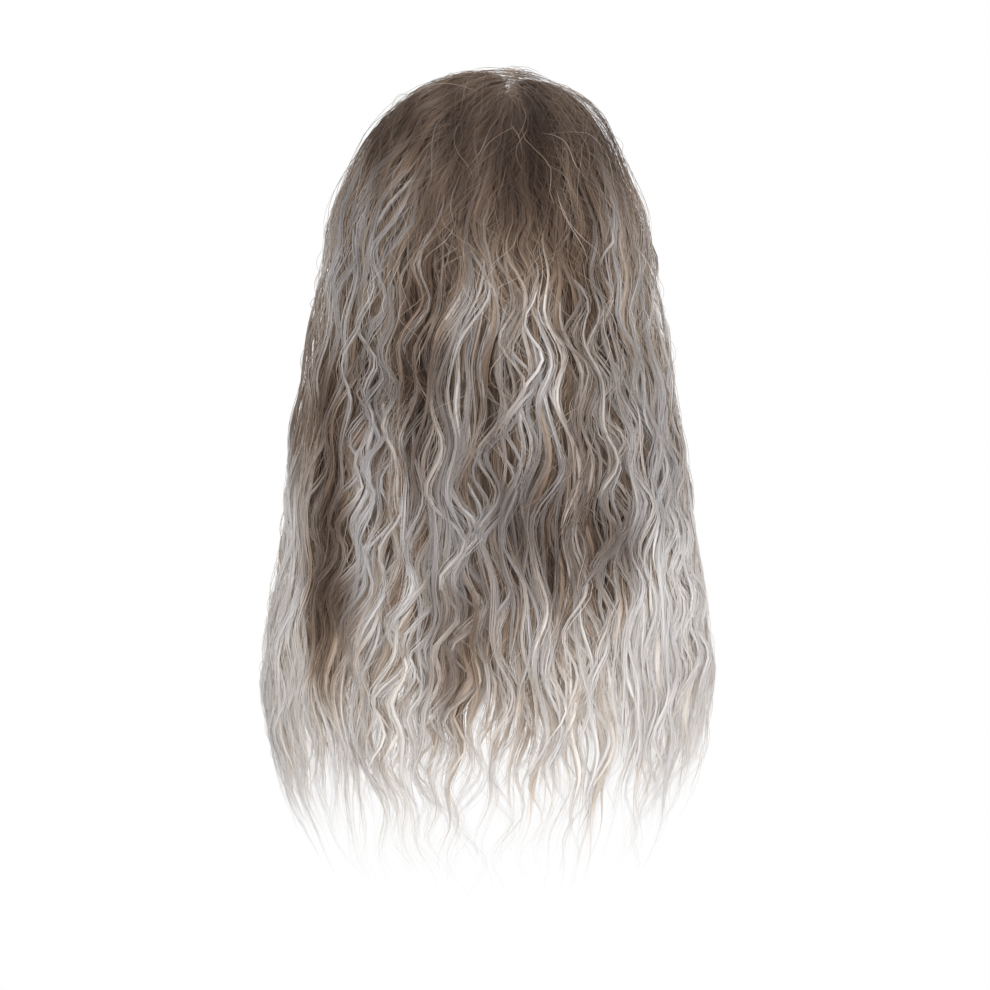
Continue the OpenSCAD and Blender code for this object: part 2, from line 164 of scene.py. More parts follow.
def root_direction(phi):
    """Where on the parting a hair has its root: from the whorl, at the back, to the hairline."""
    along = np.clip((np.abs(phi) - WHORL_AZ) / (FRONT_AZ - WHORL_AZ), 0, 1)
    pol = mix(WHORL_POL, -HAIRLINE_POL, along)
    return stack(-sin_deg(PART_LEAN) * cos_deg(pol), sin_deg(pol), cos_deg(PART_LEAN) * cos_deg(pol))


def level_direction(phi):
    """Where the hair passes brow height."""
    return stack(sin_deg(phi), cos_deg(phi), 0 * phi)


def dome_angle(phi):
    """The angle between a hair's root and its place at brow height."""
    return np.arccos(np.sum(root_direction(phi) * level_direction(phi), axis=-1))


def dome_run(phi):
    """How far a hair runs from the parting to brow height."""
    return HAIR_HALF_W * dome_angle(phi)


def draw_in(phi):
    """The hair is drawn in beside the face."""
    return 1 - 0.15 * ease(np.abs(phi), SIDE_AZ, FRONT_AZ)


def fall_az(phi, z):
    """The front hair closes towards the chest as it falls."""
    return phi * (1 + 0.09 * ease(-z, 0, 250) * ease(np.abs(phi), SIDE_AZ, FRONT_AZ))


def on_dome(phi, s, width, back, front, top, drawn):
    """A point of the great arc from a hair's root to brow height, on an ellipsoid."""
    w = dome_angle(phi)
    u = (root_direction(phi) * (np.sin((1 - s) * w) / np.sin(w))[..., None]
         + level_direction(phi) * (np.sin(s * w) / np.sin(w))[..., None])
    half_y = np.where(u[..., 1] > 0, back, front)
    return stack(u[..., 0] * width * drawn, u[..., 1] * half_y * drawn, u[..., 2] * top)


def hollowed(places):
    """The dome of hair is flatter above the ears than an ellipsoid, and its crown leans."""
    x, y, z = np.moveaxis(places, -1, 0)
    height = np.clip(z / HAIR_TOP / 0.92, 0, 1)
    x = x * (1 - TEMPLE_HOLLOW * sin_deg(180 * height) ** 2) + CROWN_LEAN * ease(height, 0.4, 1)
    return stack(x, y, z)


def on_fall(phi, z, width, back, front, drawn):
    """A point of the hanging hair at a height below the brow."""
    a = fall_az(phi, z)
    half_y = np.where(cos_deg(a) > 0, back(z), front(z))
    return stack(drawn * width(z) * sin_deg(a), drawn * half_y * cos_deg(a), z)


def hair_place(phi, s, depth):
    """A point in the hair: s is 0 on the parting, 1 at brow height and 1 more each 100 mm down."""
    phi, s, depth = np.broadcast_arrays(np.asarray(phi, float), np.asarray(s, float),
                                        np.asarray(depth, float))
    over = np.clip(s, 0, 1)
    z = np.minimum(FALL_UNIT * (1 - s), 0)
    on_top = (s < 1)[..., None]
    drawn = draw_in(phi)
    outside = np.where(on_top,
                       hollowed(on_dome(phi, over, HAIR_HALF_W, HALF_BACK, HALF_FRONT, HAIR_TOP,
                                        mix(1, drawn, ease(over, 0.3, 1)))),
                       on_fall(phi, z, outer_width, outer_back, outer_front, drawn))
    inside = np.where(on_top,
                      on_dome(phi, over, HEAD_HALF[0] + HAIR_IN, HEAD_HALF[1] + HAIR_IN,
                              HEAD_HALF[1] + HAIR_IN, HEAD_HALF[2] + HAIR_IN, 1),
                      on_fall(phi, z, inner_width, inner_back, inner_front, 1))
    return inside + (outside - inside) * depth[..., None]


def edge_pol(az):
    """Where the cap's lower edge runs. It is the same on both sides."""
    return float(cap_edge(abs((az + 180) % 360 - 180)))


def net_pol(az):
    """Where the crown net ends: at the back row, over the temples and at the front band."""
    away = abs((az + 180) % 360 - 180)
    return mix(NET_BACK_POL, edge_pol(az) - FRONT_BAND_POL - SEAM, float(ease(away, 104, 126)))


def strap_pol(az):
    """The line of an adjuster strap inside the nape, from the side band to the hook."""
    root = edge_pol(STRAP_ROOT_AZ) - 4
    return mix(HOOK_POL, root, (abs(az) - STRAP_END_AZ) / (STRAP_ROOT_AZ - STRAP_END_AZ))


def half_height(width):
    """Half the width of a strap or tape as a polar angle, at the back of the head."""
    return math.degrees(width / 2 / HEAD_HALF[1])


def head_place(az, pol, off):
    """A point at a distance off the head, in metres."""
    a, b, c = HEAD_HALF
    return Vector(((a + off) * math.sin(math.radians(pol)) * math.sin(math.radians(az)),
                   (b + off) * math.sin(math.radians(pol)) * math.cos(math.radians(az)),
                   (c + off) * math.cos(math.radians(pol)))) * MM


# ---------------------------------------------------------------- hair colour
# Each hair carries two numbers along its length: a tone from 0, dark, to 1, pale, and a warmth
# from 0, silver, to 1, brown. They are the two directions of the hair's UV map.

TONE_BY_HEIGHT = smooth_table([(-480, 1.0), (-386, 0.98), (-352, 0.88), (-319, 0.73), (-286, 0.62),
                               (-253, 0.53), (-219, 0.5), (-153, 0.47), (-86, 0.49), (-50, 0.53),
                               (-20, 0.49), (14, 0.39), (47, 0.31), (80, 0.2), (114, 0.28), (130, 0.3)])
WARMTH_BY_HEIGHT = smooth_table([(-480, 0.65), (-380, 0.8), (-330, 0.95), (-270, 0.95), (-200, 1.03),
                                 (-100, 1.08), (0, 1.03), (60, 1.1), (130, 0.95)])

# Patches of colour: x, z, half width, half height, change of tone, change of warmth. They are
# strongest on the back hair. +x is the wearer's left.
PATCHES = [
    (-32, 46, 38, 42, -0.18, 0.1),
    (92, 30, 30, 50, 0.24, -0.3),
    (-90, 20, 12, 50, 0.22, -0.4),
    (-50, 5, 17, 36, -0.14, 0.1),
    (-110, -20, 12, 50, -0.05, 0.1),
    (12, -84, 16, 26, -0.13, 0.0),
    (-78, -58, 22, 44, -0.17, 0.1),
    (-34, -16, 22, 18, 0.0, 0.4),
    (35, -62, 10, 12, 0.15, 0.4),
    (112, -66, 15, 50, 0.15, -0.1),
    (47, -86, 16, 70, -0.3, 0.35),
    (74, -106, 15, 32, -0.12, 0.0),
    (-27, -92, 25, 42, 0.13, -0.2),
    (-124, -60, 18, 70, 0.26, -0.3),
    (-124, -220, 20, 110, 0.17, -0.3),
    (130, -120, 18, 60, -0.08, 0.4),
    (114, -222, 14, 90, -0.4, 0.6),
    (80, -210, 24, 60, 0.22, -0.25),
    (14, -205, 16, 34, -0.02, -0.3),
    (-22, -200, 16, 44, -0.38, 0.2),
    (-88, -216, 19, 44, -0.36, 0.25),
    (-56, -248, 16, 40, -0.24, 0.2),
    (118, -290, 18, 44, -0.28, 0.7),
    (84, -290, 26, 60, 0.1, -0.1),
    (14, -312, 26, 60, -0.24, 0.4),
    (-124, -312, 44, 66, 0.6, -0.1),
    (-60, -300, 30, 60, 0.12, 0.1),
    (-20, -325, 20, 48, -0.13, 0.1),
    (-158, -290, 26, 90, 0.4, 0.0),
    (148, -290, 18, 110, 0.5, 0.0),
    (145, -135, 14, 40, -0.08, 0.0),
    (78, -140, 20, 50, -0.07, 0.0),
    (78, 14, 18, 26, -0.08, 0.0),
    (112, -322, 18, 28, -0.08, 0.2),
    (40, -262, 16, 34, -0.1, 0.1),
    (78, -325, 24, 44, -0.06, 0.0),
    (6, -352, 22, 28, -0.1, 0.2),
]


def hair_tone(x, y, z):
    """Tone and warmth of the hair at a place: by height, streaked from side to side, and patched."""
    side = np.sign(y + 1e-6)    # the streaks of the front and back are not the same
    wander = (0.06 * np.sin(x / 9 + z / 61 + side) + 0.05 * np.sin(x / 4.7 - z / 37 + 2 * side)
              + 0.05 * np.sin(z / 23 + x / 17 + y / 31))
    tone = TONE_BY_HEIGHT(z) + wander
    warmth = WARMTH_BY_HEIGHT(z) - 0.9 * wander
    behind = 0.35 + 0.65 * ease(y, -60, 10)
    for px, pz, half_w, half_h, tone_change, warmth_change in PATCHES:
        near = behind * np.exp(-((x - px) / half_w) ** 2 - ((z - pz) / half_h) ** 2)
        tone = tone + tone_change * near
        warmth = warmth + warmth_change * near
    return tone, warmth


# ---------------------------------------------------------------- strands

rng = np.random.default_rng(20)

DOME_STEP = 12.0                # millimetres between a strand's points above the brow
FALL_STEP = 8.0                 # and below it, where the hair waves
WAVE_LENGTH = 66.0              # millimetres from wave to wave
MERGE = 1e-7                    # metres: points this close are one
LOWEST_COLOUR = 0.02            # the lowest tone and warmth on the colour map
HIGHEST_COLOUR = 0.97
FACE_SPAN = 0.006               # the width that every face has there
GRAIN_SHIFT = 7.3               # gives each lock its own part of the fine streaks


def strand_profile(name, sides, groove):
    """The cross section drawn along every strand: clockwise, so that the faces point outwards."""
    data = bpy.data.curves.new(name, "CURVE")
    data.dimensions = "2D"
    ring = data.splines.new("POLY")
    ring.points.add(sides - 1)
    for k, point in enumerate(ring.points):
        r = 1 - groove * (k % 2)
        a = -2 * math.pi * k / sides
        point.co = (r * math.cos(a), r * math.sin(a), 0, 1)
    ring.use_cyclic_u = True
    obj = bpy.data.objects.new(name, data)
    scene.collection.objects.link(obj)
    return obj


class Strands:
    """Gathers strands as splines, then draws them as one mesh with tone and warmth as its UVs.

    The sides of a strand can be grooved and differ in tone (stripe), and a strand can be pressed
    to a share of its thickness (flat).
    """

    def __init__(self, name, sides, groove=0.0, stripe=0.0, flat=1.0):
        self.name = name
        self.sides = sides
        self.stripe = stripe
        self.flat = flat
        self.profile = strand_profile(name + "_profile", sides, groove)
        self.curve = bpy.data.curves.new(name, "CURVE")
        self.curve.dimensions = "3D"
        self.curve.bevel_mode = "OBJECT"
        self.curve.bevel_object = self.profile
        self.places = []
        self.faces_out = []
        self.tones = []
        self.warmths = []

    def add(self, points, radii, tones, warmths, face_out=None):
        """Adds one strand, with pointed ends. face_out is the way that its flat side faces."""
        n = len(points)
        self.places.append(points)
        self.faces_out.append(face_out)
        spline = self.curve.splines.new("POLY")
        spline.points.add(n - 1)
        co = np.ones((n, 4))
        co[:, :3] = points * MM
        spline.points.foreach_set("co", co.ravel())
        radii = radii * MM
        radii[0] = radii[-1] = 0
        spline.points.foreach_set("radius", radii)
        self.tones.append(tones)
        self.warmths.append(warmths)

    def finish(self, material, body="cap"):
        """Draws all strands as one closed mesh."""
        drawn = bpy.data.objects.new(self.name + "_curve", self.curve)
        scene.collection.objects.link(drawn)
        depsgraph = bpy.context.evaluated_depsgraph_get()
        mesh = bpy.data.meshes.new_from_object(drawn.evaluated_get(depsgraph))
        mesh.name = self.name
        self.paint(mesh)
        if self.flat < 1:
            self.flatten(mesh)
        for obj in (drawn, self.profile):
            data = obj.data
            bpy.data.objects.remove(obj)
            bpy.data.curves.remove(data)
        bm = bmesh.new()
        bm.from_mesh(mesh)
        bmesh.ops.remove_doubles(bm, verts=bm.verts, dist=MERGE)
        bm.to_mesh(mesh)
        bm.free()
        mesh.shade_smooth()
        mesh.materials.clear()
        mesh.materials.append(material)
        obj = bpy.data.objects.new(self.name, mesh)
        scene.collection.objects.link(obj)
        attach(obj, body)
        return obj

    def flatten(self, mesh):
        """Presses each lock flat against the hair below it."""
        places = np.empty(len(mesh.vertices) * 3)
        mesh.vertices.foreach_get("co", places)
        places = places.reshape(-1, self.sides, 3)
        away = places - np.concatenate(self.places)[:, None] * MM
        out = np.concatenate(self.faces_out)[:, None]
        height = np.sum(away * out, axis=2, keepdims=True)
        mesh.vertices.foreach_set("co", (places - (1 - self.flat) * height * out).ravel())

    def paint(self, mesh):
        """Writes tone and warmth to the UV map, with a little width so that each face has area.

        The mesh is a ring of points at each point of a strand, with a face from side to side.
        """
        sides = self.sides
        corners = np.empty(len(mesh.loops), int)
        mesh.loops.foreach_get("vertex_index", corners)
        ring, side = corners // sides, corners % sides
        face = np.repeat(np.arange(len(mesh.polygons)) % sides, 4)
        edge = (side - face) % sides
        edge = (edge > edge.reshape(-1, 4).min(axis=1).repeat(4)).astype(float)
        strip = rng.normal(0, self.stripe, (len(self.tones), sides))
        lock = np.repeat(np.arange(len(self.tones)), [(len(t) - 1) * sides for t in self.tones])
        tone = np.concatenate(self.tones)[ring] + strip[lock, face[::4]].repeat(4)
        warmth = np.concatenate(self.warmths)[ring]
        colour = np.stack([np.clip(tone, LOWEST_COLOUR, HIGHEST_COLOUR) + FACE_SPAN * edge,
                           np.clip(warmth, LOWEST_COLOUR, HIGHEST_COLOUR) + FACE_SPAN * (ring % 2)],
                          axis=1)
        along = np.concatenate([np.arange(len(t)) for t in self.tones])[ring]
        grain = np.stack([(face + edge) / sides + GRAIN_SHIFT * lock.repeat(4),
                          along * FALL_STEP / FALL_UNIT], axis=1)
        for layer in list(mesh.uv_layers):
            mesh.uv_layers.remove(layer)
        mesh.uv_layers.new(name="OFBake").uv.foreach_set("vector", colour.ravel())
        mesh.uv_layers.new(name="Grain").uv.foreach_set("vector", grain.ravel())


def wave_turn(phi, run):
    """How far along its wave the hair is: neighbours wave together, in drifts across the wig."""
    return (2 * math.pi * run / WAVE_LENGTH + 2.3 * np.sin(phi / 14 + run / 105 + 0.6)
            + 1.5 * np.sin(phi / 6.1 - run / 63 + 1.9))


def drift(run, low, high, shape=None):
    """A sine along a strand, of random phase and of a random length per radian from low to high."""
    return np.sin(run / rng.uniform(low, high, shape) + rng.uniform(0, 6.3, shape))


class Lock:
    """A lock of hair: where its middle runs and how it waves.

    It runs from start to end, counted as s is in hair_place, at a depth from 0, on the inside of
    the hair, to 1, on the outside. In millimetres, it waves by wave to each side, swings by sweep
    on top of that, and its strands lie within the half width spread.
    """

    def __init__(self, phi, depth, start, end, wave, spread, sweep):
        on_dome = float(dome_run(phi))
        above = max(2, int(on_dome * (1 - start) / DOME_STEP)) if start < 1 else 0
        brow = max(start, 1.0)
        below = int((end - brow) * FALL_UNIT / FALL_STEP)
        self.s = np.concatenate([np.linspace(min(start, 1.0), 1, above, endpoint=False),
                                 np.linspace(brow, end, below)])
        self.run = np.where(self.s < 1, self.s * on_dome, on_dome + (self.s - 1) * FALL_UNIT)
        self.since = self.run - self.run[0]
        self.left = self.run[-1] - self.run

        # A lock rises from under its neighbours, at once at the parting and slowly elsewhere.
        self.depth = depth + 0.07 * drift(self.run, 30, 60)
        from_part = start < 0.1
        bed = rng.uniform(0.1, 0.6) if from_part else depth - 0.22
        self.depth = mix(bed, self.depth, ease(self.since, 0, 16 if from_part else 55))
        self.middle = hair_place(phi, self.s, self.depth)
        across = hair_place(phi + 0.5, self.s, self.depth) - hair_place(phi - 0.5, self.s, self.depth)
        self.across = unit_rows(across)
        self.out = unit_rows(hair_place(phi, self.s, self.depth + 0.05) - self.middle)

        # It waves more the further it is from the parting, and more in some places than others.
        self.grown = ease(self.run, 25, 165)
        burst = 0.62 + 0.38 * drift(self.run, 26, 50)
        self.wave = wave * (0.12 + 0.88 * self.grown) * burst
        self.turn = wave_turn(phi, self.run) + rng.normal(0, 0.5)
        crimp = 0.14 * wave * np.sin(self.run / 8.6 + phi / 3 + rng.normal(0, 0.8))
        self.sweep = self.grown * (sweep * np.sin(self.run / 41 + phi / 12 + rng.normal(0, 0.7)) + crimp)
        self.width = (spread * (0.5 + 0.5 * ease(self.since, 0, 60))
                      * (0.4 + 0.6 * ease(self.left, 0, 120))
                      * (0.8 + 0.2 * drift(self.run, 14, 30)))

    def core(self, shift):
        """The path of the soft body of the lock."""
        side = self.wave * np.sin(self.turn) + self.sweep
        out = 0.3 * self.wave * np.cos(self.turn) + shift * self.width
        return self.middle + self.across * side[:, None] + self.out * out[:, None]

    def face(self, roll):
        """Which way the flat of the lock faces, as it rolls to one side and the other."""
        a = roll * drift(self.run, 22, 40)
        return self.out * np.cos(a)[:, None] + self.across * np.sin(a)[:, None]

    def strands(self, count, loose):
        """The paths of the strands that follow the lock, as count rows of points."""
        angle = rng.uniform(0, 2 * math.pi, (count, 1))
        far = np.sqrt(rng.uniform(0.02, 1, (count, 1)))
        lag = 0.25 * far * np.cos(angle) + rng.normal(0, 0.09, (count, 1))
        gain = 1 + rng.normal(0, 0.08, (count, 1))
        stray = loose * rng.normal(0, 1, (count, 1)) * (0.25 + 0.75 * self.grown)
        wander = stray * drift(self.run, 13, 48, (count, 1))
        side = (self.wave * gain * np.sin(self.turn + lag) + self.sweep
                + far * np.cos(angle) * self.width + wander)
        out = (0.3 * self.wave * gain * np.cos(self.turn + 0.8 * lag)
               + 0.45 * far * np.sin(angle) * self.width + 0.4 * wander)
        return self.middle + self.across * side[..., None] + self.out * out[..., None]

    def paint(self, points, tone_shift, warmth_shift):
        """Tone and warmth along strands, with painted shade where they lie deep, and paler at the tips."""
        tone, warmth = hair_tone(points[..., 0], points[..., 1], points[..., 2])
        shown = 0.3 + 0.7 * ease(self.run, 60, 190)
        # painted shade: hair that lies deep under other locks is painted darker, less so low down the
        # length
        deep_painted_shade = (1 - ease(self.depth, 0.3, 0.9)) * (1 - ease(self.run, 380, 500))
        tone = tone + tone_shift * shown - 0.1 * deep_painted_shade
        tone = tone + 0.3 * (1 - ease(self.left, 10, 130)) * (1 - tone)
        return tone, warmth + warmth_shift * shown


def unit_rows(vectors):
    """The same directions with a length of 1."""
    return vectors / np.maximum(np.linalg.norm(vectors, axis=-1, keepdims=True), 1e-6)


def taper(n, root, tip, peak):
    """Radii along a strand: thin over its first points, root, and its last ones, tip."""
    i = np.arange(n)
    return peak * (0.15 + 0.85 * ease(i, 0, root)) * (0.1 + 0.9 * ease(n - 1 - i, 0, tip))


# The azimuths between which each group of outer locks hangs.
GROUPS = {
    "front_right_locks": (-133.0, -96.7),
    "side_right_locks": (-96.7, -60.5),
    "back_right_locks": (-60.5, -24.2),
    "back_centre_locks": (-24.2, 24.2),
    "back_left_locks": (24.2, 60.5),
    "side_left_locks": (60.5, 96.7),
    "front_left_locks": (96.7, 133.0),
}

LONGEST_DROP = 474              # millimetres from the brow to the lowest tips, at the back
SHORTER_LEFT = 30               # how much less the front hair drops on the left
SHORTER_RIGHT = 78              # and on the right

# How many locks of each layer hang from a degree of the head.
BASE_LOCKS = 0.5
BROWN_LOCKS = 0.8
SILVER_LOCKS = 0.85
TIP_LOCKS = 0.66


def spread_out(az0, az1, count):
    """Azimuths in order, each at random in its own share of the range."""
    return [az0 + (i + rng.uniform(0.1, 0.9)) * (az1 - az0) / count for i in range(count)]


def longest_drop(phi):
    """How far below the brow the longest hair of an azimuth hangs."""
    return LONGEST_DROP - (SHORTER_LEFT if phi > 0 else SHORTER_RIGHT) * float(ease(abs(phi), 45, 95))


def add_strands(strands, lock, count, tone_shift, warmth_shift, loose, thick, mottle):
    """Adds fine strands that follow a lock. Few of them run its whole length.

    loose is how far they stray from it and thick the range of their radii, in millimetres, and
    mottle is how much they differ in tone and warmth.
    """
    paths = lock.strands(count, loose)
    tones, warmths = lock.paint(paths, tone_shift + rng.normal(0, mottle, (count, 1)),
                                warmth_shift + rng.normal(0, mottle, (count, 1)))
    n = len(lock.s)
    for path, tone, warmth in zip(paths, tones, warmths):
        first = 0 if rng.random() < 0.4 else int(rng.uniform(0.03, 0.6) * n)
        if rng.random() < 0.7:
            last = n - int(rng.uniform(0, 0.14) * n)
        else:
            last = int(rng.uniform(0.6, 0.95) * n)
        if last - first > 10:
            part = slice(first, last)
            radii = taper(last - first, 5, 14, rng.uniform(*thick))
            strands.add(path[part], radii, tone[part], warmth[part])


def add_body(bodies, lock, tone_shift, warmth_shift, share, shift, roll):
    """Adds the soft body of a lock, a flat bundle that its strands lie round.

    Its half width is a share of the lock's, shift moves it out by a share of that width too, and
    roll is how far it turns to the sides.
    """
    points = lock.core(shift)
    tone, warmth = lock.paint(points, tone_shift, warmth_shift)
    n = len(points)
    end = n - int(rng.uniform(0.04, 0.16) * n)
    radii = share * lock.width[:end] * ease(end - 1 - np.arange(end), -1, 9)
    bodies.add(points[:end], radii, tone[:end], warmth[:end], lock.face(roll)[:end])


def hang_group(node, az0, az1, material):
    """The outer hair of one part of the wig: brown locks under silver ones, and thin tips."""
    base = Strands(node + "_base_hair", 6, stripe=0.05, flat=0.35)
    bodies = Strands(node + "_bodies", 6, stripe=0.05, flat=0.4)
    under = Strands(node + "_under_hair", 3)
    top = Strands(node + "_silver_hair", 3)
    tips = Strands(node + "_tips", 3)

    # Short flat hair that covers the cap and leaves the ear tabs room to bend.
    for phi in spread_out(az0, az1, int((az1 - az0) * BASE_LOCKS)):
        clear_of_tabs = 0.24 * float(ease(abs(phi), 84, 98))
        lock = Lock(phi, depth=rng.uniform(0.12, 0.4) + clear_of_tabs,
                    start=0.02, end=rng.uniform(1.9, 2.6),
                    wave=rng.uniform(2, 4), spread=rng.uniform(6, 8), sweep=2)
        tone_shift, warmth_shift = rng.uniform(-0.14, 0.02), rng.uniform(0.0, 0.2)
        add_body(base, lock, tone_shift, warmth_shift, share=1.0, shift=0.0, roll=0.2)

    # Brown locks, three in four of them from the parting.
    for i, phi in enumerate(spread_out(az0, az1, int((az1 - az0) * BROWN_LOCKS))):
        start = 0.02 if i % 4 else rng.uniform(0.1, 0.6)
        drop = longest_drop(phi) - 8 - 110 * rng.random() ** 1.5
        lock = Lock(phi, depth=rng.uniform(0.5, 0.84), start=start, end=1 + drop / FALL_UNIT,
                    wave=rng.uniform(4.5, 8), spread=rng.uniform(4.5, 7), sweep=rng.uniform(3, 8))
        tone_shift, warmth_shift = rng.uniform(-0.16, 0.05), rng.uniform(0.1, 0.45)
        # the body is painted 0.05 darker than its strands, as painted shade under them
        add_body(bodies, lock, tone_shift - 0.05, warmth_shift, share=0.56, shift=-0.45, roll=0.4)
        add_strands(under, lock, 10, tone_shift, warmth_shift, loose=1.8, thick=(0.17, 0.34), mottle=0.04)

    # Silver locks over them.
    for phi in spread_out(az0, az1, int((az1 - az0) * SILVER_LOCKS)):
        start = rng.uniform(0.5, 2.2)
        drop = longest_drop(phi) - 120 * rng.random() ** 1.6
        lock = Lock(phi, depth=rng.uniform(0.78, 0.96), start=start, end=1 + drop / FALL_UNIT,
                    wave=rng.uniform(6, 11), spread=rng.uniform(1.8, 4.6), sweep=rng.uniform(4, 10))
        tone_shift, warmth_shift = rng.uniform(0.0, 0.28), rng.uniform(-0.95, -0.4)
        # the body is painted 0.05 darker than its strands, as painted shade under them
        add_body(bodies, lock, tone_shift - 0.05, warmth_shift, share=0.4, shift=-0.2, roll=0.4)
        add_strands(top, lock, 12, tone_shift, warmth_shift, loose=0.9, thick=(0.15, 0.3), mottle=0.04)

    # Short locks at the lower edge.
    for phi in spread_out(az0, az1, int((az1 - az0) * TIP_LOCKS)):
        drop = longest_drop(phi) - rng.uniform(0, 100)
        depth = rng.uniform(0.3, 0.94)
        start = 1 + (drop - rng.uniform(140, 200)) / FALL_UNIT
        lock = Lock(phi, depth, start, end=1 + drop / FALL_UNIT,
                    wave=rng.uniform(4, 9), spread=rng.uniform(5, 9), sweep=rng.uniform(3, 8))
        tone_shift, warmth_shift = rng.uniform(0.02, 0.2), rng.uniform(-0.4, 0.1)
        add_body(bodies, lock, tone_shift, warmth_shift, share=0.4, shift=-0.2, roll=0.4)
        add_strands(tips, lock, 9, tone_shift, warmth_shift, loose=1.6, thick=(0.15, 0.32), mottle=0.03)
    for strands in (base, bodies, under, top, tips):
        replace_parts(strands.finish(material), node)


# The brightest locks: azimuth, start and end along the hair, half width of the lock and its wave.
BRIGHT_LOCKS = [
    (-52, 0.42, 2.6, 3.6, 7), (-64, 0.9, 3.4, 3.2, 8), (-70, 2.0, 4.6, 4.4, 9),
    (-13, 1.5, 3.1, 3.0, 8), (7, 1.4, 3.3, 2.4, 7), (11, 2.5, 4.2, 2.8, 9),
    (31, 1.0, 2.7, 3.0, 8), (43, 0.55, 2.2, 3.4, 8), (56, 0.5, 2.4, 3.6, 8),
    (66, 0.8, 3.0, 3.4, 9), (74, 2.2, 4.6, 4.2, 9), (38, 2.6, 4.4, 3.8, 10),
    (-34, 2.2, 4.0, 3.2, 8), (-44, 1.2, 2.8, 2.8, 7), (98, 0.7, 3.2, 3.4, 8),
    (-99, 0.7, 3.2, 3.4, 8), (117, 0.8, 3.6, 3.2, 8), (-118, 0.8, 3.6, 3.2, 8),
    (33, 0.3, 1.6, 2.6, 8), (50, 0.24, 1.8, 2.8, 8), (63, 0.28, 1.9, 2.8, 8),
    (-41, 0.5, 1.7, 2.2, 7),
]


def hang_bright_locks(node, az0, az1, material):
    """The brightest silver locks of a group, on top of the others."""
    bright = Strands(node + "_bright_locks", 3)
    for phi, start, end, spread, wave in BRIGHT_LOCKS:
        if az0 <= phi < az1:
            lock = Lock(phi, 0.97, start, end, wave, spread, sweep=6)
            add_strands(bright, lock, 34, tone_shift=0.03, warmth_shift=-0.8,
                        loose=0.9, thick=(0.14, 0.26), mottle=0.05)
    if bright.tones:
        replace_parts(bright.finish(material), node)


def hang_rows(node, az0, az1, start, end, low, high, count, material):
    """Hair sewn to the lower weft rows, under the outer layer, at depths from low to high."""
    bodies = Strands(node + "_bodies", 8, groove=0.14, stripe=0.05, flat=0.5)
    fine = Strands(node + "_strands", 3)
    for phi in spread_out(az0, az1, count):
        lock = Lock(phi, depth=rng.uniform(low, high),
                    start=start + rng.uniform(0, 0.2), end=end - rng.uniform(0, 0.8),
                    wave=rng.uniform(3, 6), spread=rng.uniform(5, 8), sweep=rng.uniform(2, 6))
        tone_shift, warmth_shift = rng.uniform(-0.1, 0.1), rng.uniform(-0.15, 0.15)
        add_body(bodies, lock, tone_shift, warmth_shift, share=0.9, shift=-0.1, roll=0.4)
        # the strands are painted 0.06 paler than their body, which lies under them in painted shade
        add_strands(fine, lock, 5, tone_shift + 0.06, warmth_shift,
                    loose=0.9, thick=(0.25, 0.42), mottle=0.07)
    for strands in (bodies, fine):
        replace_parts(strands.finish(material), node)


def loose_hairs(name, count, s_range, length, lift, tone_shift):
    """Fine single hairs that have come free and lie or stand across the others.

    They start within s_range along the hair, and their length and lift off the others, in
    millimetres, lie within the pairs length and lift.
    """
    hairs = Strands(name, 3)
    t = np.linspace(0, 1, 11)
    for phi in spread_out(-FRONT_AZ, FRONT_AZ, count):
        s0 = rng.uniform(*s_range)
        along = rng.uniform(*length)
        heading = float(np.clip(rng.normal(0, 0.55), -0.95, 0.95))
        reach = max(60.0, float(dome_run(phi)) * min(s0, 1.0))
        s = np.maximum(s0 + along * math.cos(heading) * t / FALL_UNIT, 0.05)
        turn = math.degrees(along * math.sin(heading) / reach)
        bend = rng.normal(0, 5)
        curl = math.degrees(rng.uniform(1.5, 4.5) / reach)
        az = phi + turn * t + bend * t * (1 - t) + curl * np.sin(along * t / 6 + rng.uniform(0, 6.3))
        place = hair_place(az, s, 0.9)
        out = unit_rows(hair_place(az, s, 1.0) - place)
        up = rng.uniform(*lift) * np.sin(math.pi * np.minimum(t * 1.2, 1)) + rng.uniform(0, 1.5) * t
        points = place + out * up[:, None]
        tone, warmth = hair_tone(points[:, 0], points[:, 1], points[:, 2])
        shine = tone_shift * rng.uniform(-0.5, 1.5) ** 2 * 1.1
        hairs.add(points, taper(len(t), 2, 4, rng.uniform(0.12, 0.22)), tone + shine,
                  warmth + rng.uniform(-0.5, 0.2))
    return hairs


def crossing_hairs(name, count, tone_shift):
    """Fine hairs that lie over the parting from one side to the other."""
    hairs = Strands(name, 3)
    t = np.linspace(0, 1, 9)[:, None]
    for i in range(count):
        side = 1 if i % 2 else -1
        phi = rng.uniform(2, 100)
        start = hair_place(side * phi, rng.uniform(0.02, 0.12), rng.uniform(0.3, 1))
        end = hair_place(-side * (phi + rng.uniform(-14, 14)), rng.uniform(0.06, 0.3),
                         rng.uniform(0.85, 1))
        middle = (start + end) / 2 + np.array([0, rng.uniform(-6, 6), rng.uniform(4, 12)])
        points = start * (1 - t) ** 2 + 2 * middle * t * (1 - t) + end * t ** 2
        tone, warmth = hair_tone(points[:, 0], points[:, 1], points[:, 2])
        hairs.add(points, taper(len(t), 2, 3, rng.uniform(0.11, 0.2)), tone + tone_shift, warmth)
    return hairs


# ---------------------------------------------------------------- materials

HEAD_RADIUS = 0.088             # metres, for patterns that run round the head
NAPE_RADIUS = 0.075


def linear(hex_colour):
    """An sRGB colour as the linear values that sockets take."""
    channels = [int(hex_colour[i:i + 2], 16) / 255 for i in (1, 3, 5)]
    return [c / 12.92 if c <= 0.04045 else ((c + 0.055) / 1.055) ** 2.4 for c in channels] + [1.0]


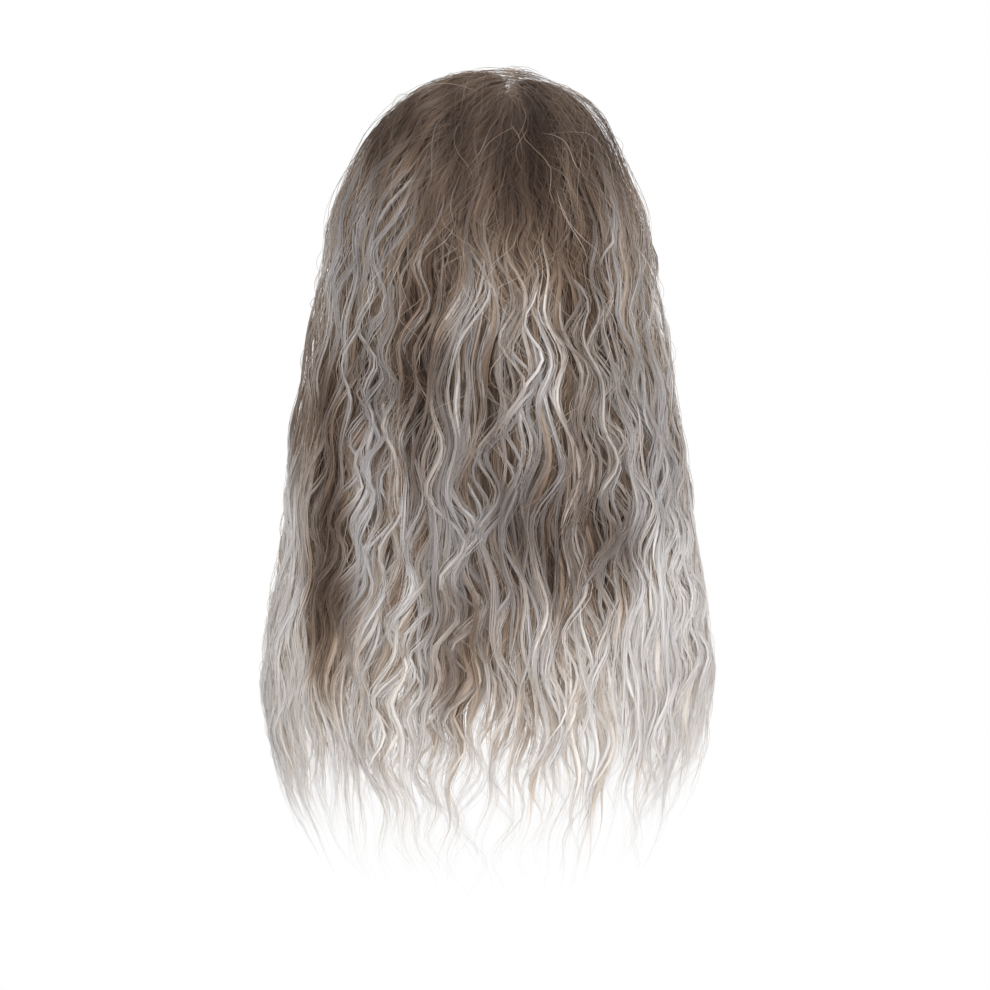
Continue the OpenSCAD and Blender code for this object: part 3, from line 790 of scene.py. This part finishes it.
class Wiring:
    """Adds nodes to a material or a world, and links them."""

    def __init__(self, tree):
        self.nodes = tree.nodes
        self.links = tree.links

    def fill(self, node, inputs):
        """Gives inputs of a node their values. A socket as a value is linked."""
        for key, value in inputs.items():
            if hasattr(value, "is_output"):
                self.links.new(value, node.inputs[key])
            else:
                node.inputs[key].default_value = value

    def add(self, kind, inputs=()):
        """Adds a node of a kind, with its inputs filled."""
        node = self.nodes.new("ShaderNode" + kind)
        self.fill(node, dict(inputs))
        return node

    def math(self, operation, *terms):
        """Arithmetic with sockets and numbers."""
        node = self.add("Math")
        node.operation = operation
        self.fill(node, dict(enumerate(terms)))
        return node.outputs[0]

    def split(self, place):
        """The x, y and z of a place."""
        return self.add("SeparateXYZ", {0: place}).outputs

    def stretch(self, place, scale):
        """A place scaled by its own amount along each axis."""
        return self.add("Mapping", {"Vector": place, "Scale": scale}).outputs["Vector"]

    def noise(self, place, scale, detail):
        """Soft noise at a place."""
        return self.add("TexNoise", {"Vector": place, "Scale": scale, "Detail": detail})

    def ripple(self, place, length):
        """A sine wave of a length in metres."""
        return self.math("SINE", self.math("MULTIPLY", place, 2 * math.pi / length))

    def rescale(self, value, old, new):
        """A value brought from an old range to a new one."""
        limits = zip(("From Min", "From Max", "To Min", "To Max"), (*old, *new))
        return self.add("MapRange", [("Value", value), *limits]).outputs["Result"]

    def ramp(self, value, stops):
        """The colour of a value, from a list of values and colours."""
        node = self.add("ValToRGB", {"Fac": value})
        elements = node.color_ramp.elements
        elements.remove(elements[0])
        elements[0].position = stops[0][0]
        elements[0].color = linear(stops[0][1])
        for position, colour in stops[1:]:
            elements.new(position).color = linear(colour)
        return node.outputs["Color"]


class Finish(Wiring):
    """A material under way, with its shader."""

    def __init__(self, name, roughness, specular, metallic=0.0):
        self.material = bpy.data.materials.new(name)
        self.material.use_nodes = True
        super().__init__(self.material.node_tree)
        self.shader = self.nodes["Principled BSDF"]
        self.shade({"Roughness": roughness, "Specular IOR Level": specular, "Metallic": metallic})

    def shade(self, inputs):
        """Gives inputs of the shader their values."""
        self.fill(self.shader, inputs)

    def relief(self, height, strength, distance):
        """Fine ups and downs of the surface."""
        bump = self.add("Bump", {"Height": height, "Strength": strength, "Distance": distance})
        self.shade({"Normal": bump.outputs["Normal"]})

    def place(self):
        """The place on the object."""
        return self.add("TexCoord").outputs["Object"]

    def on_map(self, name):
        """The place on one of the piece's own maps."""
        node = self.add("UVMap")
        node.uv_map = name
        return node.outputs["UV"]


def hair_material():
    """Silver and brown hair, mixed by the tone and warmth that each hair carries."""
    look = Finish("hair_fibre", 0.55, 0.15)
    carried = look.split(look.on_map("OFBake"))
    fibres = look.noise(look.stretch(look.on_map("Grain"), (18, 3.2, 1)), 1.0, 2.5)
    fibres.noise_dimensions = "2D"
    look.fill(fibres, {"Roughness": 0.62})
    streak = look.rescale(fibres.outputs["Fac"], (0.25, 0.75), (-0.08, 0.07))
    tone = look.math("ADD", carried["X"], streak)
    silver = look.ramp(tone, [(0.0, "#393433"), (0.25, "#6b6563"), (0.5, "#9a9595"),
                               (0.75, "#c7c3c3"), (1.0, "#eeebea")])
    brown = look.ramp(tone, [(0.0, "#3f2f26"), (0.25, "#6d5849"), (0.5, "#a18b78"),
                              (0.75, "#d0c0b1"), (1.0, "#f0e8e0")])
    blend = look.add("Mix")
    blend.data_type = "RGBA"
    look.fill(blend, {"Factor": carried["Y"], "A": silver, "B": brown})
    look.shade({"Base Color": blend.outputs["Result"], "Sheen Weight": 0.15, "Sheen Roughness": 0.4})
    look.relief(fibres.outputs["Fac"], 0.15, 0.0006)
    return look.material


def woven(name, dark, light, pitch, around=True, slant=0.0, roughness=0.85):
    """Cloth: warp and weft threads that pass over each other, seen in colour and in relief."""
    cloth = Finish(name, roughness, 0.25)
    place = cloth.place()
    x, y, z = cloth.split(place)
    if around:
        across = cloth.math("MULTIPLY", cloth.math("ARCTAN2", x, y), HEAD_RADIUS)
        down = z
    else:
        across, down = x, y
    warp = cloth.ripple(cloth.math("MULTIPLY_ADD", down, slant, across), 2 * pitch * MM)
    weft = cloth.ripple(down, 2 * pitch * MM)
    fluff = cloth.noise(place, 900.0, 3.0).outputs["Fac"]
    height = cloth.math("MULTIPLY_ADD", cloth.math("MULTIPLY", warp, weft), 0.5, fluff)
    cloth.shade({"Base Color": cloth.ramp(height, [(0.1, dark), (0.9, light)]), "Sheen Weight": 0.3})
    cloth.relief(height, 0.7, pitch * MM * 0.4)
    return cloth.material


def ribbed(name, dark, light, pitch, along_z):
    """Elastic: cords of rubber along its length under tight cross threads."""
    rubber = Finish(name, 0.7, 0.35)
    x, y, z = rubber.split(rubber.place())
    round_head = rubber.math("MULTIPLY", rubber.math("ARCTAN2", x, y), NAPE_RADIUS)
    lengthwise, crosswise = (z, round_head) if along_z else (round_head, z)
    cords = rubber.ripple(crosswise, pitch * MM)
    threads = rubber.ripple(lengthwise, 0.55 * pitch * MM)
    height = rubber.rescale(rubber.math("MULTIPLY_ADD", threads, 0.35, cords), (-1.35, 1.35), (0, 1))
    rubber.shade({"Base Color": rubber.ramp(height, [(0.05, dark), (0.95, light)])})
    rubber.relief(height, 0.8, pitch * MM * 0.35)
    return rubber.material


def twisted(name, dark, light, scale=1500.0):
    """Sewing thread, mottled by its twist."""
    yarn = Finish(name, 0.6, 0.35)
    twist = yarn.noise(yarn.place(), scale, 2.0).outputs["Fac"]
    yarn.shade({"Base Color": yarn.ramp(twist, [(0.3, dark), (0.7, light)])})
    yarn.relief(twist, 0.5, 0.0001)
    return yarn.material


def brushed(name):
    """Satin steel with fine brushing along the hook."""
    steel = Finish(name, 0.34, 0.5, metallic=1.0)
    brush = steel.noise(steel.stretch(steel.place(), (300, 300, 9000)), 1.0, 3.0).outputs["Fac"]
    steel.shade({"Base Color": steel.ramp(brush, [(0.2, "#9b9c9e"), (0.8, "#c9cacc")]),
                 "Roughness": steel.rescale(brush, (0, 1), (0.26, 0.46))})
    return steel.material


# ---------------------------------------------------------------- the cap

TEMPLE_AZ = (101.0, 123.6)      # the temple panels, from back to front
TEMPLE_LOW_POL = 84.0           # and their lower edge above the ear tabs
STITCH_IN = 1.2                 # degrees from a line of stitches to the cap's edge
STITCH_HALF = 0.55              # half the height of its zigzag
STITCH_STEP = 1.3               # and the degrees from turn to turn


def finish_piece(name, bm, material, body="cap"):
    """Makes an object of a bmesh, in place, and lets it ride on a body if one is named."""
    mesh = bpy.data.meshes.new(name)
    bm.to_mesh(mesh)
    bm.free()
    mesh.materials.append(material)
    obj = bpy.data.objects.new(name, mesh)
    scene.collection.objects.link(obj)
    if body:
        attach(obj, body)
    return obj


def lattice(bm):
    """Turns a grid of faces into a grid of diamonds."""
    along_grid = list(bm.edges)
    bmesh.ops.poke(bm, faces=bm.faces)
    inner = [e for e in along_grid if len(e.link_faces) == 2]
    bmesh.ops.dissolve_edges(bm, edges=inner, use_verts=False)


def knot_net(name, bm, node):
    """Threads along the edges of a bmesh, in place of a panel of net."""
    net = finish_piece(name, bm, net_thread)
    threads = net.modifiers.new("threads", "WIREFRAME")
    threads.thickness = NET_THREAD * MM
    threads.use_even_offset = False
    threads.use_boundary = True
    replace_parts(net, node)


def sew_crown_net():
    """A dome of net, from the top of the head down to its rim."""
    bm = bmesh.new()
    bmesh.ops.create_uvsphere(bm, u_segments=96, v_segments=44, radius=1)
    bmesh.ops.bisect_plane(bm, geom=bm.verts[:] + bm.edges[:] + bm.faces[:], dist=1e-5,
                           plane_co=(0, 0, 0), plane_no=(0, 0, 1), clear_inner=True)
    for vert in bm.verts:
        az = math.degrees(math.atan2(vert.co.x, vert.co.y))
        pol = math.degrees(math.acos(max(-1.0, min(1.0, vert.co.z))))
        vert.co = head_place(az, pol / 90 * net_pol(az), CLOTH / 2)
    lattice(bm)
    knot_net("crown_net_mesh", bm, "crown_net")


def sew_temple_net(name, side, node):
    """A panel of net over the temple, between the crown net and the ear."""
    bm = bmesh.new()
    bmesh.ops.create_grid(bm, x_segments=14, y_segments=10, size=0.5)
    for vert in bm.verts:
        az = side * mix(*TEMPLE_AZ, vert.co.x + 0.5)
        low = mix(TEMPLE_LOW_POL, edge_pol(az), float(ease(abs(az), 122, 124)))
        vert.co = head_place(az, mix(net_pol(az) + 2 * SEAM, low, vert.co.y + 0.5), CLOTH / 2)
    if side < 0:                # a mirror image is inside out
        bmesh.ops.reverse_faces(bm, faces=bm.faces)
    lattice(bm)
    knot_net(name, bm, node)


def stitches(name, runs, thick, material, body="cap"):
    """Thread along runs of points, such as a zigzag or a line of stitches."""
    data = bpy.data.curves.new(name, "CURVE")
    data.dimensions = "3D"
    data.bevel_depth = thick / 2 * MM
    data.bevel_resolution = 0
    data.use_fill_caps = True
    for run in runs:
        spline = data.splines.new("POLY")
        spline.points.add(len(run) - 1)
        for point, place in zip(spline.points, run):
            point.co = (*place, 1)
    drawn = bpy.data.objects.new(name + "_curve", data)
    scene.collection.objects.link(drawn)
    mesh = bpy.data.meshes.new_from_object(drawn.evaluated_get(bpy.context.evaluated_depsgraph_get()))
    bpy.data.objects.remove(drawn)
    bpy.data.curves.remove(data)
    mesh.name = name
    bm = bmesh.new()
    bm.from_mesh(mesh)
    bpy.data.meshes.remove(mesh)
    bmesh.ops.remove_doubles(bm, verts=bm.verts, dist=MERGE)
    bmesh.ops.recalc_face_normals(bm, faces=bm.faces)
    for face in bm.faces:
        face.smooth = True
    return finish_piece(name, bm, material, body)


def zigzag(az0, az1, pol_at, half_pol, pitch_az, off):
    """A zigzag of thread round the head between two azimuths."""
    count = max(2, int(abs(az1 - az0) / pitch_az))
    places = []
    for i in range(count + 1):
        az = mix(az0, az1, i / count)
        places.append(head_place(az, pol_at(az) + half_pol * (1 if i % 2 else -1), off))
    return places


def edge_row(az0, az1, inside=STITCH_IN, pitch_az=STITCH_STEP):
    """A zigzag of thread along the cap's lower edge."""
    return zigzag(az0, az1, lambda az: edge_pol(az) - inside, STITCH_HALF, pitch_az, CLOTH + 0.08)


def weft_row(row):
    """The zigzag that holds the hair to one weft tape."""
    pol = FIRST_ROW_POL + ROW_STEP_POL * row
    end = float(np.interp(pol, ROW_POLS, ROW_ENDS)) - 0.6
    half = STITCH_HALF * half_height(WEFT_H)
    return zigzag(-end, end, lambda az: pol, half, STITCH_STEP, WEFT_IN + WEFT_T + 0.05)


def sew_cap():
    """The net panels, and the rows of thread that hold tapes and bands."""
    sew_crown_net()
    sew_temple_net("temple_net_left", 1, "temple_panel_left")
    sew_temple_net("temple_net_right", -1, "temple_panel_right")
    stitches("weft_stitches", [weft_row(row) for row in range(WEFT_ROWS)], 0.5, thread)
    stitches("edge_stitches", [edge_row(124.6, 235.4, FRONT_BAND_POL - 1.1, 1.1), edge_row(-39.6, 39.6),
                               edge_row(41, 100), edge_row(-41, -100)], 0.45, thread)


def sew_ear_tab(side, word):
    """Stitching round a bendable ear tab and along the channel of its stay."""
    off = CLOTH + 0.06
    rim, channel = [], []
    for i in range(25):
        turn = math.pi * i / 24
        az = TAB_AZ - 0.86 * TAB_HALF_AZ * math.cos(turn)
        rim.append(head_place(side * az, TAB_TOP_POL + 2.2 + 9.4 * math.sin(turn), off))
    for across in (-2.6, 2.6):
        channel.append([head_place(side * (TAB_AZ + across), TAB_TOP_POL + 1 + 0.95 * i, off)
                        for i in range(11)])
    stitches(word + "_ear_tab_stitches", [rim] + channel, 0.4, thread, word + "_ear_tab")


def sew_strap(side, word):
    """The elastic strap from the side band to its hook."""
    bm = bmesh.new()
    bmesh.ops.create_grid(bm, x_segments=40, y_segments=6, size=0.5)
    bmesh.ops.solidify(bm, geom=bm.faces[:], thickness=1.0)
    half = half_height(STRAP_W)
    deep = min(v.co.z for v in bm.verts)
    for vert in bm.verts:
        az = mix(STRAP_END_AZ, STRAP_ROOT_AZ, vert.co.x + 0.5)
        thick = STRAP_T * (vert.co.z - deep) * (1 - 0.35 * abs(2 * vert.co.y) ** 6)   # thin edges
        vert.co = head_place(side * az, strap_pol(az) + 2 * half * vert.co.y, STRAP_IN + thick)
    if bm.calc_volume(signed=True) < 0:
        bmesh.ops.reverse_faces(bm, faces=bm.faces)
    strap = finish_piece(word + "_elastic_strap", bm, elastic, body=None)
    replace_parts(strap, "adjuster_strap_" + word)
    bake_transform(strap)


def dress_nodes():
    """Gives each carried-over piece of the cap its cloth, thread or metal."""
    finishes = {"parting_cloth": parting_cloth, "edge_band": band_cloth, "rib_ribbon": ribbed_ribbon,
                "weft_tape": tape_cloth, "thread": thread, "hook_metal": brushed_metal}
    for part in frame["record"]["subparts"]:
        finish = finishes.get(part["material_slot"])
        if finish:
            obj = frame["nodes"][part["node"]]
            for slot in obj.material_slots:
                slot.material = finish


# ---------------------------------------------------------------- make it

hair = hair_material()
net_thread = twisted("net_thread", "#3a2f29", "#6a5a4f", 2200.0)
thread = twisted("sewing_thread", "#40352f", "#7d6c60")
parting_cloth = woven("parting_cloth", "#b9987d", "#dcc2aa", 0.7, around=False, roughness=0.75)
band_cloth = woven("band_cloth", "#2a2420", "#55483f", 1.0, slant=0.5)
tape_cloth = woven("tape_cloth", "#3b302a", "#75665a", 0.9)
ribbed_ribbon = ribbed("ribbed_ribbon", "#26211e", "#4f463f", 1.3, True)
elastic = ribbed("elastic", "#1f1b19", "#463e39", 1.2, False)
brushed_metal = brushed("brushed_metal")
dress_nodes()
sew_cap()
for hand, word in ((1, "left"), (-1, "right")):
    sew_ear_tab(hand, word)
    sew_strap(hand, word)
for group, (first_az, last_az) in GROUPS.items():
    hang_group(group, first_az, last_az, hair)
    hang_bright_locks(group, first_az, last_az, hair)
for word, first_az, last_az in (("left", 1, 97), ("right", -97, -1)):
    hang_rows("middle_row_hair_" + word, first_az, last_az,
              start=0.85, end=5.2, low=0.22, high=0.42, count=44, material=hair)
hang_rows("nape_row_hair", -56, 56, start=1.52, end=5.0, low=0.03, high=0.16, count=36, material=hair)
for hairs in (
        loose_hairs("crown_flyaways", 1300, (0.04, 1.0), length=(22, 70), lift=(0.4, 3.5), tone_shift=0.08),
        loose_hairs("halo_hairs", 460, (0.15, 1.7), length=(25, 65), lift=(2, 8), tone_shift=0.2),
        loose_hairs("length_flyaways", 1700, (1.0, 4.7), length=(25, 70), lift=(0.5, 5), tone_shift=0.13),
        crossing_hairs("parting_hairs", 260, tone_shift=0.1)):
    hairs.finish(hair)

# ---------------------------------------------------------------- the room

CAMERA_AWAY = 3.4               # metres from the wig
CAMERA_RISE = math.radians(1.5)
VIEW_WIDTH = 0.7326             # metres across the view, at the wig
AMBIENT = 0.55                  # the light from all around. The background itself is plain white
FLOOR_Z = -0.95
FLOOR_HALF = 1.6

camera_data = bpy.data.cameras.new("camera")
camera_data.lens = camera_data.sensor_width * CAMERA_AWAY / VIEW_WIDTH
camera = bpy.data.objects.new("camera", camera_data)
scene.collection.objects.link(camera)
aim = Vector((-0.0052, 0.0, -0.1845))
camera.location = aim + Vector((0, CAMERA_AWAY * math.cos(CAMERA_RISE),
                                CAMERA_AWAY * math.sin(CAMERA_RISE)))
camera.rotation_euler = (aim - camera.location).to_track_quat("-Z", "Y").to_euler()
scene.camera = camera


def area_light(name, place, target, size, power):
    """A round lamp that faces its target."""
    data = bpy.data.lights.new(name, "AREA")
    data.shape = "DISK"
    data.size = size
    data.energy = power
    light = bpy.data.objects.new(name, data)
    light.location = place
    light.rotation_euler = (Vector(target) - Vector(place)).to_track_quat("-Z", "Y").to_euler()
    scene.collection.objects.link(light)


area_light("key", (1.3, 2.2, 1.5), (0, 0, -0.15), 1.4, 10)
area_light("fill", (-1.8, 1.8, 0.5), (0, 0, -0.25), 1.6, 22)
area_light("behind", (0.1, 3.3, 0.3), (0, 0, -0.2), 1.2, 38)
area_light("front", (0.2, -2.4, 0.9), (0, 0, -0.15), 1.8, 28)

world = bpy.data.worlds.new("studio")
scene.world = world
world.use_nodes = True
sky = Wiring(world.node_tree)
rays = sky.add("LightPath").outputs
mirrored = sky.math("MAXIMUM", rays["Is Glossy Ray"], rays["Is Transmission Ray"])
seen = sky.math("MAXIMUM", rays["Is Camera Ray"], mirrored)
strength = sky.add("Mix", {"Factor": seen, "A": AMBIENT, "B": 1.0})
sky.fill(sky.nodes["Background"], {"Color": (1, 1, 1, 1), "Strength": strength.outputs["Result"]})

floor_data = bpy.data.meshes.new("floor")
bm = bmesh.new()
bmesh.ops.create_grid(bm, x_segments=1, y_segments=1, size=FLOOR_HALF)
bmesh.ops.translate(bm, verts=bm.verts, vec=(0, 0, FLOOR_Z))
bm.to_mesh(floor_data)
bm.free()
floor = bpy.data.objects.new("floor", floor_data)
scene.collection.objects.link(floor)
pale = Finish("pale_floor", 0.9, 0.2)
pale.shade({"Base Color": (0.85, 0.85, 0.85, 1)})
floor_data.materials.append(pale.material)

scene.view_settings.view_transform = "Standard"
